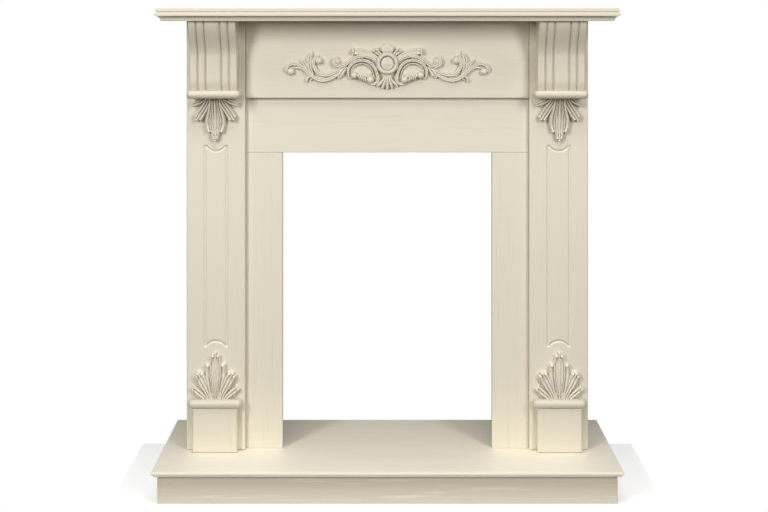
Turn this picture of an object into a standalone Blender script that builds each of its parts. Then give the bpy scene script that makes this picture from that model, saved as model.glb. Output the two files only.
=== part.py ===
"""Fireplace mantelpiece: a shelf on two fluted corbels and panelled pilasters round a
fire opening, over a low hearth, with acanthus leaves and a carved frieze ornament.

Metres, +Z up. The front faces -Y, the back stands on the wall plane at +Y, and the
origin is the middle of the footprint on the floor.
"""

import math

import bmesh
import bpy
import numpy as np

# Boards and fits
BOARD = 0.016  # thickness of the plain boards
JOINT_GAP = 0.0003  # between pieces that touch
ARRIS = 0.003  # radius of the eased front edges
FINE_ARRIS = 0.001  # radius where slips and lintel meet
SMOOTH_DEGREES = 40  # flatter edges than this are shaded smooth
CARVING_SMOOTH_DEGREES = 50

# Shelf and the coved moulding under it
WIDTH = 0.950  # shelf and hearth slab, end to end
SHELF_DEPTH = 0.289  # front edge to wall
SHELF_THICKNESS = 0.017
SHELF_STEP = 0.002  # the upper band stands back by this
SHELF_EDGE = 0.002  # radius of its top edge
SHELF_GROOVE_HEIGHT = 0.0082  # middle of the groove between the bands, over the foot
SHELF_GROOVE_WIDTH = 0.0024
SHELF_GROOVE_DEPTH = 0.0016  # behind the upper band
COVE_HEIGHT = 0.0105
COVE_INSET = 0.0112  # foot of the cove behind the shelf's edge
COVE_RADIUS = 0.008
COVE_STEPS = 5

# Hearth
HEARTH_DEPTH = 0.326  # front edge to wall
SLAB_THICKNESS = 0.0105
SLAB_NOSE_HEIGHT = 0.0053  # of the part over the lower fillet
SLAB_NOSE_STEP = 0.0016  # it stands back from the fillet by this
SLAB_NOSE_RADIUS = 0.0024
PLINTH_HEIGHT = 0.0565
PLINTH_INSET = 0.011  # behind the slab's edge, at the front and both ends

# Front of the body
BODY_DEPTH = 0.197  # pilaster face to wall
BODY_INSET = 0.0515  # pilaster's outer edge in from the slab's end
PILASTER_WIDTH = 0.124
SLIP_SETBACK = 0.012  # slips and lintel behind the pilaster face
SLIP_WIDTH = 0.07775
OPENING_HEIGHT = 0.6266
LINTEL_HEIGHT = 0.1154
FRIEZE_HEIGHT = 0.163

# Corbels
CORBEL_WIDTH = 0.098
CORBEL_HEIGHT = 0.1435
CORBEL_SETBACK = 0.010  # its top behind the foot of the cove
CORBEL_FOOT_REACH = 0.041  # lower part, out from the pilaster face
CORBEL_SWEEP_HEIGHT = 0.072  # of the curve from the top reach to the foot reach
CORBEL_TUCK = 0.005  # the foot draws in by this
CORBEL_TUCK_HEIGHT = 0.020
CORBEL_GROOVE_WIDTH = 0.0045
CORBEL_GROOVE_DEPTH = 0.003
CORBEL_GROOVES = (1 / 6, 1 / 3, 2 / 3, 5 / 6)  # shares of the width
CORBEL_SWEEP_STEPS = 8
CORBEL_TUCK_STEPS = 3

# Half-round mouldings under each corbel and over each base block
TORUS_WIDTH = 0.112
TORUS_HEIGHT = 0.0175
TORUS_OVERHANG = 0.007  # past the corbel or the block, at the front
TORUS_STEPS = 6
TORUS_CORNER_STEPS = 4

# Base blocks
BASE_BLOCK_WIDTH = 0.0935
BASE_BLOCK_HEIGHT = 0.0935
BASE_BLOCK_REACH = 0.0175  # out from the pilaster face

# Acanthus leaves. Tips and notches are an angle from the leaf's axis in degrees, and a
# radius as a share of the leaf's length.
PENDANT_LEAF_LENGTH = 0.0925
RISING_LEAF_LENGTH = 0.0985
LEAF_TIPS = ((0.0, 1.0), (20.0, 0.74), (41.0, 0.70), (73.0, 0.56))
LEAF_NOTCHES = ((10.5, 0.80), (29.0, 0.47), (63.0, 0.34), (90.0, 0.45))
LEAF_LOBE_POWER = 1.5
LEAF_EDGE = 0.0043  # thickness of the leaf's edge
LEAF_SWELL = 0.0071  # rise of the body of the leaf over its edge
LEAF_SWELL_SPAN = (0.12, 0.97)  # shares of a half wave, at the root and at the tip
LEAF_RIDGE = 0.0043  # rise of each lobe's rib over its notches
PENDANT_ROOT_RISE = 0.013  # how much further the hanging leaf stands out at its root
RISING_ROOT_RISE = 0.003  # the same for the standing leaf
LEAF_ANGLE_STEPS = 3  # between each tip and notch
LEAF_RADIAL_STEPS = 5

# Routed panel on each pilaster
PANEL_WIDTH = 0.0455  # between the groove's centre lines
PANEL_MARGIN = 0.011  # from the leaves' tips
PANEL_SHOULDER = 0.003  # level stretch at each corner, before the arc
PANEL_ARC_RISE = 0.010  # the arcs at both ends curve into the panel
PANEL_GROOVE_WIDTH = 0.007
PANEL_GROOVE_DEPTH = 0.0028
PANEL_CUTTER_RISE = 0.0011  # the cutter stands out of the face by this
PANEL_ARC_STEPS = 10

# Frieze ornament. Its routes are in millimetres at the drawn width, and it is scaled
# to the width below. They are drawn for one half, from the roundel's centre.
ORNAMENT_WIDTH = 0.432
ORNAMENT_DROP = 0.0095  # the roundel's centre below the middle of the frieze
DRAWN_WIDTH = 432.0
TUBE_SIDES = 8
END_SHRINK = 0.55  # end ring of a scroll against its own section
BACK_DEPTH = 6.0  # how far the uncut scrolls run behind the ornament's back
# The roundel's ring and disc, as radius and height from the outside in.
ROUNDEL_PROFILE = (
    (23.8, -5.4), (23.8, 7.0), (21.8, 12.3), (18.9, 14.0),
    (15.5, 11.2), (14.0, 7.4), (11.7, 10.5), (5.8, 11.3),
)
ROUNDEL_SIDES = 20

# Each scroll is its route, then its half-width and height at the start, middle and
# end, then how many rings it is drawn with.
HORN = (((20, 9), (36, 18), (50, 23.5), (70, 24)), (4.2, 5.6, 7.4), (11, 12, 13), 7)
UPPER_SCROLL = (
    ((20, 1), (40, 12.5), (56, 14.8), (71, 10), (87, -2.5), (101, -6.6), (112, -2),
     (113, 8), (105, 12)),
    (3.4, 3.6, 2.4), (12, 10, 8), 14,
)
LARGE_SCROLL = (
    ((82.5, -28), (82.5, -13.5), (76.5, -3.5), (65, 3.8), (52.5, 6.4), (39, 3.8),
     (29, -4), (22, -16), (20, -28), (22.3, -38), (29, -42.5), (39, -41.5)),
    (3.2, 3.9, 3.2), (9, 12, 10), 16,
)
LOWER_RIM = (((83, -30), (67, -36.5), (50, -41.5), (36, -43)), (2.8, 3.2, 2.8), (8, 8, 8), 7)
HUSK = (((84, 0), (93, -13), (100, -25), (105, -33)), (2.4, 5.6, 0.8), (9, 8, 3), 6)
LOWER_STEM = (
    ((96, -19), (108, -26), (122, -32.6), (136, -36.2), (150, -32.6), (160, -25.8),
     (169, -17.5), (178, -8.6), (188, -2.6), (199, -0.4), (210, -4.0), (214, -14.5)),
    (2.6, 3.6, 2.8), (7, 8, 7), 16,
)
UPPER_STEM = (
    ((90, -4), (103, -12.8), (117, -20.4), (131, -25), (142, -23.2), (150.5, -15.5),
     (154, -5), (154, 6), (149, 12.5)),
    (2.6, 3.3, 2.8), (8, 8, 8), 12,
)
TALL_LEAF = (((158, -26), (164, -8), (164.5, 8), (157.5, 25)), (3.0, 5.2, 0.8), (8, 9, 4), 7)
SIDE_LEAF = (((166, -19), (171, -4), (177, 5), (184, 11.4)), (2.6, 3.4, 0.8), (7, 7, 3), 6)
LOWER_CURL = (
    ((150, -31.5), (160, -28.5), (167, -30), (169.6, -35.2), (165.5, -38.6)),
    (2.0, 2.6, 1.2), (6, 6, 5), 8,
)
SMALL_PETAL = (((12, 19), (20, 24), (29, 29.5)), (3.5, 5.0, 2.2), (9, 9, 5), 5)
HALF_SCROLLS = (
    HORN, UPPER_SCROLL, LARGE_SCROLL, LOWER_RIM, HUSK, LOWER_STEM, UPPER_STEM,
    TALL_LEAF, SIDE_LEAF, LOWER_CURL, SMALL_PETAL,
)
# Knobs: centre, radius and height.
HALF_KNOBS = (
    ((73.5, -25.5), 7.8, 10.0),
    ((37.5, -34.5), 7.8, 10.0),
    ((105.0, 3.8), 6.4, 9.0),
    ((144.3, 5.9), 8.0, 9.5),
    ((206.8, -17.2), 7.4, 8.0),
)
KNOB_SIDES = 12
KNOB_STEPS = 3
KNOB_CROWN = 0.93  # share of the dome's quarter turn where its top is flat
KNOB_BACK_DEPTH = 4.8
RIBS = 4  # between the two large knobs
RIB_FIRST = (62.5, -27.5)
RIB_LAST = (48.5, -31.5)
RIB_LEAN = (1.5, 5.5)  # half of a rib's length, across and up
RIB_HALF_WIDTHS = (1.4, 1.7, 1.4)
RIB_HEIGHTS = (7.5, 7.5, 7.5)
RIB_RINGS = 4
RECESS_CENTRE = (52.0, -18.0)  # the sunk field inside each large scroll
RECESS_RADII = (32.0, 24.0)
RECESS_HEIGHT = 3.5
RECESS_STEPS = 2
TOP_PETAL = (
    ((0, 16), (0, 27), (0, 33), (0, 44)), (5.0, 7.75, 0.75), (9.0, 11.0, 5.0), 7,
)
FAN_FLUTES = 5
FAN_NECK = (5.2, -20.0)  # outermost flute's centre at the neck
FAN_FOOT = (20.5, -48.0)  # and at its tip
FAN_DROP = 5.0  # the middle flute hangs lower than the outermost by this
FAN_WAIST = 0.45  # share of the way down where the flutes are drawn in
FAN_PINCH = 2.5  # the outermost flute is drawn in by this
FAN_WIDTHS = (2.2, 2.9, 3.2)
FAN_HEIGHTS = (9.0, 10.0, 8.0)
FAN_RINGS = 6

# Finishes: sRGB colour and roughness
IVORY_BOARD = ("E3DCC8", 0.5)
IVORY_CARVING = ("E6DFCC", 0.45)
IVORY_HEARTH = ("E7E0CE", 0.5)

# Heights and depths worked out from the sizes above
WALL = HEARTH_DEPTH / 2
SLAB_TOP = PLINTH_HEIGHT + SLAB_THICKNESS
OPENING_TOP = SLAB_TOP + OPENING_HEIGHT
FRIEZE_FOOT = OPENING_TOP + LINTEL_HEIGHT
BODY_TOP = FRIEZE_FOOT + FRIEZE_HEIGHT
COVE_TOP = BODY_TOP + COVE_HEIGHT
SHELF_TOP = COVE_TOP + SHELF_THICKNESS
FACE = WALL - BODY_DEPTH  # y of the pilaster face
SLIP_FACE = FACE + SLIP_SETBACK
FRONT_BACK = SLIP_FACE + BOARD  # back of all the front boards
SHELF_FRONT = WALL - SHELF_DEPTH
PILASTER_OUTER = WIDTH / 2 - BODY_INSET
PILASTER_INNER = PILASTER_OUTER - PILASTER_WIDTH
PILASTER_CENTRE = (PILASTER_OUTER + PILASTER_INNER) / 2
OPENING_SIDE = PILASTER_INNER - SLIP_WIDTH
CORBEL_TOP_REACH = FACE - SHELF_FRONT - COVE_INSET - CORBEL_SETBACK
CORBEL_FOOT = BODY_TOP - CORBEL_HEIGHT
UPPER_TORUS_FOOT = CORBEL_FOOT - TORUS_HEIGHT
BLOCK_TOP = SLAB_TOP + BASE_BLOCK_HEIGHT
LOWER_TORUS_TOP = BLOCK_TOP + TORUS_HEIGHT
PENDANT_TIP = UPPER_TORUS_FOOT - PENDANT_LEAF_LENGTH
RISING_TIP = LOWER_TORUS_TOP + RISING_LEAF_LENGTH
FRIEZE_MIDDLE = (FRIEZE_FOOT + BODY_TOP) / 2
ARC_MIDDLE = 1 - math.cos(math.radians(45))  # a round edge's middle, as share of radius
SIDES = (("left", -1), ("right", 1))


def clear_scene():
    for thing in list(bpy.data.objects):
        bpy.data.objects.remove(thing, do_unlink=True)


def linear(channel):
    """One sRGB channel from 0 to 1, as linear light."""
    return channel / 12.92 if channel <= 0.04045 else ((channel + 0.055) / 1.055) ** 2.4


def finish(name, look):
    """A painted finish from its sRGB hex colour and its roughness."""
    hex_colour, roughness = look
    channels = [int(hex_colour[i : i + 2], 16) / 255 for i in (0, 2, 4)]
    material = bpy.data.materials.new(name)
    material.use_nodes = True
    shader = material.node_tree.nodes["Principled BSDF"]
    shader.inputs["Base Color"].default_value = (*map(linear, channels), 1.0)
    shader.inputs["Roughness"].default_value = roughness
    shader.inputs["Metallic"].default_value = 0.0
    return material


def add_object(name, shape, material=None, smooth_degrees=None):
    """Turns a bmesh into an object, its faces outward."""
    bmesh.ops.recalc_face_normals(shape, faces=shape.faces)
    if shape.calc_volume(signed=True) < 0:
        bmesh.ops.reverse_faces(shape, faces=shape.faces)
    mesh = bpy.data.meshes.new(name)
    shape.to_mesh(mesh)
    shape.free()
    if smooth_degrees is not None:
        mesh.shade_smooth()
        mesh.set_sharp_from_angle(angle=math.radians(smooth_degrees))
    made = bpy.data.objects.new(name, mesh)
    bpy.context.scene.collection.objects.link(made)
    if material is not None:
        made.data.materials.append(material)
    return made


def helper(name, shape):
    """An object that only cuts or joins."""
    made = add_object(name, shape)
    made.hide_render = True
    made.display_type = "WIRE"
    return made


def loft(rings):
    """A closed bmesh through rings of points, in order, with both ends filled."""
    shape = bmesh.new()
    loops = [[shape.verts.new(point) for point in ring] for ring in rings]
    count = len(loops[0])
    for low, high in zip(loops, loops[1:]):
        for i in range(count):
            j = (i + 1) % count
            shape.faces.new((low[i], low[j], high[j], high[i]))
    shape.faces.new(loops[0][::-1])
    shape.faces.new(loops[-1])
    return shape


def board(name, material, low, high, radius=ARRIS, segments=3):
    """A box between two corners, the edges of its front face eased to a radius."""
    shape = bmesh.new()
    bmesh.ops.create_cube(shape, size=1.0)
    for vert in shape.verts:
        for axis in range(3):
            vert.co[axis] = (low if vert.co[axis] < 0 else high)[axis]
    if radius:
        front = [
            edge
            for edge in shape.edges
            if all(abs(vert.co.y - low[1]) < 1e-6 for vert in edge.verts)
        ]
        bmesh.ops.bevel(
            shape, geom=front, offset=radius, segments=segments, profile=0.5,
            affect="EDGES", clamp_overlap=True,
        )
    return add_object(name, shape, material, SMOOTH_DEGREES)


def moulded_board(name, material, half_width, front, back, profile):
    """A board whose front and ends follow a profile of (inset, height) points."""
    rings = []
    for inset, height in profile:
        side = half_width - inset
        rings.append((
            (-side, front + inset, height), (side, front + inset, height),
            (side, back, height), (-side, back, height),
        ))
    return add_object(name, loft(rings), material, SMOOTH_DEGREES)


def round_edge(inset, top, radius):
    """Profile points of a quarter-round top edge that starts at an inset."""
    middle = radius * ARC_MIDDLE
    return (inset, top - radius), (inset + middle, top - middle), (inset + radius, top)


def shelf_profile():
    """Two bands with a groove between them, the upper one set back and eased."""
    foot = COVE_TOP + JOINT_GAP
    middle = COVE_TOP + SHELF_GROOVE_HEIGHT
    return (
        (FINE_ARRIS, foot),
        (0.0, foot + FINE_ARRIS),
        (0.0, middle - SHELF_GROOVE_WIDTH / 2),
        (SHELF_STEP + SHELF_GROOVE_DEPTH, middle),
        (SHELF_STEP, middle + SHELF_GROOVE_WIDTH / 2),
        *round_edge(SHELF_STEP, SHELF_TOP, SHELF_EDGE),
    )


def cove_profile():
    """A fillet at the foot, then a hollow quarter round that runs out to the shelf."""
    top = COVE_TOP
    start = top - COVE_RADIUS
    points = [(COVE_INSET, BODY_TOP + JOINT_GAP), (COVE_INSET, start - FINE_ARRIS)]
    for step in range(COVE_STEPS + 1):
        turn = math.radians(90) * step / COVE_STEPS
        points.append((
            COVE_INSET - FINE_ARRIS - COVE_RADIUS * (1 - math.cos(turn)),
            start + COVE_RADIUS * math.sin(turn),
        ))
    points[-1] = (points[-1][0], top)
    return points


def slab_profile():
    """A square lower fillet, a small step, then a rounded nose up to the top."""
    foot = PLINTH_HEIGHT + JOINT_GAP
    step = SLAB_TOP - SLAB_NOSE_HEIGHT
    return (
        (FINE_ARRIS, foot),
        (0.0, foot + FINE_ARRIS),
        (0.0, step - FINE_ARRIS),
        (SLAB_NOSE_STEP, step),
        *round_edge(SLAB_NOSE_STEP, SLAB_TOP, SLAB_NOSE_RADIUS),
    )


def build_shelf(material):
    moulded_board("mantel_shelf", material, WIDTH / 2, SHELF_FRONT, WALL, shelf_profile())
    moulded_board(
        "shelf_cove_moulding", material, WIDTH / 2, SHELF_FRONT, WALL, cove_profile()
    )


def build_hearth(material):
    """The slab, and under it a front board, a back board and two end boards."""
    moulded_board("hearth_slab", material, WIDTH / 2, -WALL, WALL, slab_profile())
    end = WIDTH / 2 - PLINTH_INSET
    front = PLINTH_INSET - WALL
    inner = front + BOARD + JOINT_GAP
    board("plinth_front", material, (-end, front, 0), (end, front + BOARD, PLINTH_HEIGHT))
    for side, sign in SIDES:
        low, high = sorted((sign * end, sign * (end - BOARD)))
        board(
            f"plinth_end_{side}", material,
            (low, inner, 0), (high, WALL, PLINTH_HEIGHT), radius=0,
        )
    reach = end - BOARD - JOINT_GAP
    board(
        "plinth_back", material,
        (-reach, WALL - BOARD, 0), (reach, WALL, PLINTH_HEIGHT), radius=0,
    )


def build_front(material):
    """The frieze, the lintel under it and the slips down both sides of the opening."""
    inner = PILASTER_INNER - JOINT_GAP
    board(
        "frieze_panel", material,
        (-inner, FACE, FRIEZE_FOOT), (inner, FRONT_BACK, BODY_TOP),
    )
    board(
        "lintel_panel", material,
        (-inner, SLIP_FACE, OPENING_TOP), (inner, FRONT_BACK, FRIEZE_FOOT - JOINT_GAP),
        radius=FINE_ARRIS, segments=2,
    )
    for side, sign in SIDES:
        low, high = sorted((sign * OPENING_SIDE, sign * inner))
        board(
            f"slip_{side}", material,
            (low, SLIP_FACE, SLAB_TOP + JOINT_GAP),
            (high, FRONT_BACK, OPENING_TOP - JOINT_GAP),
            radius=FINE_ARRIS, segments=2,
        )
        low, high = sorted((sign * (PILASTER_OUTER - BOARD), sign * PILASTER_OUTER))
        board(
            f"side_panel_{side}", material,
            (low, FRONT_BACK + JOINT_GAP, SLAB_TOP + JOINT_GAP), (high, WALL, BODY_TOP),
            radius=0,
        )


def arc_between(left, right, level, rise):
    """Points of an arc from left to right, its ends level and its middle raised."""
    half = (right - left) / 2
    radius = (half * half + rise * rise) / (2 * abs(rise))
    turn = math.asin(half / radius)
    sign = math.copysign(1, rise)
    points = []
    for step in range(PANEL_ARC_STEPS + 1):
        angle = turn * (2 * step / PANEL_ARC_STEPS - 1)
        points.append((
            left + half + radius * math.sin(angle),
            level + rise - sign * radius * (1 - math.cos(angle)),
        ))
    return points


def panel_outline(centre):
    """The groove's centre line, anticlockwise as seen from the front."""
    left = centre - PANEL_WIDTH / 2
    right = centre + PANEL_WIDTH / 2
    arc_left = left + PANEL_SHOULDER
    arc_right = right - PANEL_SHOULDER
    foot = RISING_TIP + PANEL_MARGIN
    head = PENDANT_TIP - PANEL_MARGIN
    lower = arc_between(arc_left, arc_right, foot, PANEL_ARC_RISE)
    upper = arc_between(arc_left, arc_right, head, -PANEL_ARC_RISE)[::-1]
    return np.array([
        *lower, (right, foot), (right, head), *upper, (left, head), (left, foot),
    ])


def mitred(outline, distance):
    """The closed outline moved sideways by a distance, its corners kept sharp."""
    along = np.roll(outline, -1, axis=0) - outline
    along /= np.linalg.norm(along, axis=1, keepdims=True)
    out = np.stack([along[:, 1], -along[:, 0]], axis=1)
    before = np.roll(out, 1, axis=0)
    corner = before + out
    corner /= (before * out).sum(axis=1, keepdims=True) + 1
    return outline + corner * distance


def groove_cutter(name, outline):
    """A closed ring of V section round the outline, its point inside the board."""
    spread = PANEL_GROOVE_WIDTH / 2 * (1 + PANEL_CUTTER_RISE / PANEL_GROOVE_DEPTH)
    tracks = (
        (mitred(outline, spread), FACE - PANEL_CUTTER_RISE),
        (mitred(outline, -spread), FACE - PANEL_CUTTER_RISE),
        (outline, FACE + PANEL_GROOVE_DEPTH),
    )
    shape = bmesh.new()
    loops = [[shape.verts.new((x, y, z)) for x, z in track] for track, y in tracks]
    count = len(outline)
    for one, other in zip(loops, loops[1:] + loops[:1]):
        for i in range(count):
            j = (i + 1) % count
            shape.faces.new((one[i], one[j], other[j], other[i]))
    return helper(name, shape)


def build_pilasters(material):
    for side, sign in SIDES:
        low, high = sorted((sign * PILASTER_INNER, sign * PILASTER_OUTER))
        post = board(
            f"pilaster_{side}", material,
            (low, FACE, SLAB_TOP + JOINT_GAP), (high, FRONT_BACK, BODY_TOP),
        )
        cutter = groove_cutter(
            f"panel_groove_{side}", panel_outline(sign * PILASTER_CENTRE)
        )
        cut = post.modifiers.new("panel_groove", "BOOLEAN")
        cut.operation = "DIFFERENCE"
        cut.solver = "EXACT"
        cut.use_self = True
        cut.object = cutter


def corbel_reach(height):
    """How far the corbel's face stands out, at a height above its foot."""
    sweep = (CORBEL_HEIGHT - height) / CORBEL_SWEEP_HEIGHT
    sweep = min(max(sweep, 0.0), 1.0)
    ease = sweep * sweep * (3 - 2 * sweep)
    reach = CORBEL_TOP_REACH + (CORBEL_FOOT_REACH - CORBEL_TOP_REACH) * ease
    tuck = max(1 - height / CORBEL_TUCK_HEIGHT, 0.0)
    return reach - CORBEL_TUCK * tuck * tuck


def corbel_heights():
    """Levels above the foot: close together where the face curves."""
    tuck = np.linspace(0, CORBEL_TUCK_HEIGHT, CORBEL_TUCK_STEPS + 1)
    bend = CORBEL_HEIGHT - CORBEL_SWEEP_HEIGHT
    sweep = np.linspace(bend, CORBEL_HEIGHT - JOINT_GAP, CORBEL_SWEEP_STEPS + 1)
    return [float(level) for level in (*tuck, *sweep)]


def corbel_face():
    """(offset across the face, depth below it): eased outer edges and the grooves."""
    half = CORBEL_WIDTH / 2
    groove = CORBEL_GROOVE_WIDTH / 2
    middle = ARRIS * ARC_MIDDLE
    face = [(-half, ARRIS), (-half + middle, middle), (-half + ARRIS, 0.0)]
    for share in CORBEL_GROOVES:
        middle = CORBEL_WIDTH * share - half
        face += [(middle - groove, 0.0), (middle, CORBEL_GROOVE_DEPTH), (middle + groove, 0.0)]
    return face + [(-across, depth) for across, depth in face[2::-1]]


def build_corbels(material):
    for side, sign in SIDES:
        centre = sign * PILASTER_CENTRE
        half = CORBEL_WIDTH / 2
        rings = []
        for height in corbel_heights():
            z = CORBEL_FOOT + height
            front = FACE - corbel_reach(height)
            ring = [(centre + across, front + depth, z) for across, depth in corbel_face()]
            ring += [(centre + half, FACE - JOINT_GAP, z), (centre - half, FACE - JOINT_GAP, z)]
            rings.append(ring)
        add_object(f"corbel_{side}", loft(rings), material, SMOOTH_DEGREES)


def torus(name, material, centre, reach, foot):
    """A half-round moulding that returns round its rounded ends to the pilaster."""
    radius = (TORUS_HEIGHT - JOINT_GAP) / 2
    front = FACE - reach
    corner = radius + FINE_ARRIS
    half = TORUS_WIDTH / 2
    rings = []
    for step in range(TORUS_STEPS + 1):
        rise = math.pi * (step / TORUS_STEPS - 0.5)
        inset = radius * (1 - math.cos(rise))
        z = foot + radius + radius * math.sin(rise)
        ring = []
        for end, start in ((-1, 180), (1, 270)):
            for part in range(TORUS_CORNER_STEPS + 1):
                turn = math.radians(start + 90 * part / TORUS_CORNER_STEPS)
                ring.append((
                    centre + end * (half - corner) + (corner - inset) * math.cos(turn),
                    front + corner + (corner - inset) * math.sin(turn),
                    z,
                ))
        ring.append((centre + half - inset, FACE - JOINT_GAP, z))
        ring.append((centre - half + inset, FACE - JOINT_GAP, z))
        rings.append(ring)
    add_object(name, loft(rings), material, CARVING_SMOOTH_DEGREES)


def build_toruses(material):
    for side, sign in SIDES:
        centre = sign * PILASTER_CENTRE
        torus(
            f"corbel_torus_{side}", material, centre,
            CORBEL_FOOT_REACH + TORUS_OVERHANG, UPPER_TORUS_FOOT,
        )
        torus(
            f"base_torus_{side}", material, centre,
            BASE_BLOCK_REACH + TORUS_OVERHANG, BLOCK_TOP + JOINT_GAP,
        )


def build_base_blocks(material):
    half = BASE_BLOCK_WIDTH / 2
    for side, sign in SIDES:
        centre = sign * PILASTER_CENTRE
        board(
            f"base_block_{side}", material,
            (centre - half, FACE - BASE_BLOCK_REACH, SLAB_TOP + JOINT_GAP),
            (centre + half, FACE - JOINT_GAP, BLOCK_TOP),
        )


def leaf_stations():
    """(angle from the leaf's axis, radius, rib height) down one half of the leaf.

    Radius and rib are shares: the rib is 1 at the tips and 0 at the notches.
    """
    stations = []
    for i, (tip_angle, tip) in enumerate(LEAF_TIPS):
        notches = ([LEAF_NOTCHES[i - 1]] if i else []) + [LEAF_NOTCHES[i]]
        for notch_angle, notch in notches:
            for step in range(LEAF_ANGLE_STEPS + 1):
                share = step / LEAF_ANGLE_STEPS
                angle = notch_angle + (tip_angle - notch_angle) * share
                rise = 1 - (1 - share) ** LEAF_LOBE_POWER
                rib = math.sin(share * math.pi / 2)
                stations.append((angle, notch + (tip - notch) * rise, rib))
    unique = {round(angle, 6): (angle, radius, rib) for angle, radius, rib in stations}
    return [unique[angle] for angle in sorted(unique)]


def leaf_height(along, rib, root_rise):
    """Height of the leaf's face over its back, along from 0 at the root to 1."""
    first, last = LEAF_SWELL_SPAN
    swell = math.sin(math.pi * (first + (last - first) * along))
    root = root_rise * (1 - along) ** 2
    return LEAF_EDGE + LEAF_SWELL * swell + LEAF_RIDGE * rib * along + root


def leaf(name, material, centre, root, length, direction, root_rise):
    """A fan of ribbed lobes from a root on the pilaster face, pointing up or down."""
    half = leaf_stations()
    fan = [(-angle, radius, rib) for angle, radius, rib in half[:0:-1]] + half
    back = FACE - JOINT_GAP
    shape = bmesh.new()
    root_vert = shape.verts.new((centre, back - leaf_height(0, 0, root_rise), root))
    face_rows = []
    back_row = []
    for angle, radius, rib in fan:
        turn = math.radians(angle)
        row = []
        for step in range(1, LEAF_RADIAL_STEPS + 1):
            along = step / LEAF_RADIAL_STEPS
            row.append(shape.verts.new((
                centre + length * radius * along * math.sin(turn),
                back - leaf_height(along, rib, root_rise),
                root + direction * length * radius * along * math.cos(turn),
            )))
        face_rows.append(row)
        back_row.append(shape.verts.new((row[-1].co.x, back, row[-1].co.z)))
    pairs = zip(zip(face_rows, back_row), zip(face_rows[1:], back_row[1:]))
    for (one, one_back), (other, other_back) in pairs:
        shape.faces.new((root_vert, one[0], other[0]))
        for k in range(LEAF_RADIAL_STEPS - 1):
            shape.faces.new((one[k], one[k + 1], other[k + 1], other[k]))
        shape.faces.new((one[-1], one_back, other_back, other[-1]))
    shape.faces.new(back_row)
    shape.faces.new(
        [root_vert] + face_rows[0] + [back_row[0], back_row[-1]] + face_rows[-1][::-1]
    )
    return add_object(name, shape, material, CARVING_SMOOTH_DEGREES)


def build_leaves(material):
    for side, sign in SIDES:
        centre = sign * PILASTER_CENTRE
        leaf(
            f"acanthus_pendant_{side}", material, centre,
            UPPER_TORUS_FOOT - JOINT_GAP, PENDANT_LEAF_LENGTH, -1, PENDANT_ROOT_RISE,
        )
        leaf(
            f"acanthus_rising_{side}", material, centre,
            LOWER_TORUS_TOP + JOINT_GAP, RISING_LEAF_LENGTH, 1, RISING_ROOT_RISE,
        )


def through(points, count):
    """Points of a smooth curve through the given ones, evenly spread by share."""
    knots = np.array(points, float)
    padded = np.vstack([2 * knots[0] - knots[1], knots, 2 * knots[-1] - knots[-2]])
    made = []
    for share in np.linspace(0, len(knots) - 1, count):
        i = min(int(share), len(knots) - 2)
        t = share - i
        a, b, c, d = padded[i : i + 4]
        made.append(
            0.5 * (2 * b + (c - a) * t + (2 * a - 5 * b + 4 * c - d) * t**2
                   + (3 * b - a - 3 * c + d) * t**3)
        )
    return np.array(made)


def scroll_rings(route, widths, heights, count):
    """Oval sections round a route on the ornament's back plane, in drawn millimetres."""
    line = through(route, count)
    ahead = np.gradient(line, axis=0)
    ahead /= np.linalg.norm(ahead, axis=1, keepdims=True)
    shares = np.linspace(0, 1, count)
    width = np.interp(shares, (0, 0.5, 1), widths)
    height = np.interp(shares, (0, 0.5, 1), heights)
    for end in (0, -1):
        width[end] *= END_SHRINK
        height[end] *= END_SHRINK
    turns = 2 * np.pi * (np.arange(TUBE_SIDES) + 0.5) / TUBE_SIDES
    rings = []
    for (x, z), (dx, dz), w, h in zip(line, ahead, width, height):
        below = min(h, BACK_DEPTH)
        rings.append([
            (
                x - dz * w * math.cos(turn),
                -(h if math.sin(turn) > 0 else below) * math.sin(turn),
                z + dx * w * math.cos(turn),
            )
            for turn in turns
        ])
    return rings


def knob_rings(centre, radii, height, sides, steps):
    """An oval dome on the back plane, with a short skirt behind it."""
    rings = []
    for step in range(steps + 1):
        rise = math.pi / 2 * min(step / steps, KNOB_CROWN)
        shrink = math.cos(rise)
        ring = []
        for side in range(sides):
            turn = 2 * math.pi * side / sides
            ring.append((
                centre[0] + radii[0] * shrink * math.cos(turn),
                -height * math.sin(rise),
                centre[1] + radii[1] * shrink * math.sin(turn),
            ))
        rings.append(ring)
    skirt = [(x, KNOB_BACK_DEPTH, z) for x, _, z in rings[0]]
    return [skirt] + rings


def mirrored(rings):
    return [[(-x, y, z) for x, y, z in ring] for ring in rings]


def roundel_rings():
    """The disc and the ring round it, as one turned shape on the back plane."""
    turns = [2 * math.pi * step / ROUNDEL_SIDES for step in range(ROUNDEL_SIDES)]
    return [
        [(radius * math.cos(turn), -height, radius * math.sin(turn)) for turn in turns]
        for radius, height in ROUNDEL_PROFILE
    ]


def rib_rings(share):
    """One of the short ribs between the large knobs, by its place along the row."""
    first, last, lean = map(np.array, (RIB_FIRST, RIB_LAST, RIB_LEAN))
    middle = first + (last - first) * share
    route = (middle - lean, middle, middle + lean)
    return scroll_rings(route, RIB_HALF_WIDTHS, RIB_HEIGHTS, RIB_RINGS)


def fan_rings(share):
    """One flute of the bottom fan: share runs from -1 to 1 across the fan."""
    neck = np.array((FAN_NECK[0] * share, FAN_NECK[1]))
    drop = FAN_DROP * (1 - share * share)
    foot = np.array((FAN_FOOT[0] * share, FAN_FOOT[1] - drop))
    pinch = np.array((FAN_PINCH * share, 0))
    middle = neck + (foot - neck) * FAN_WAIST - pinch
    return scroll_rings((neck, middle, foot), FAN_WIDTHS, FAN_HEIGHTS, FAN_RINGS)


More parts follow.
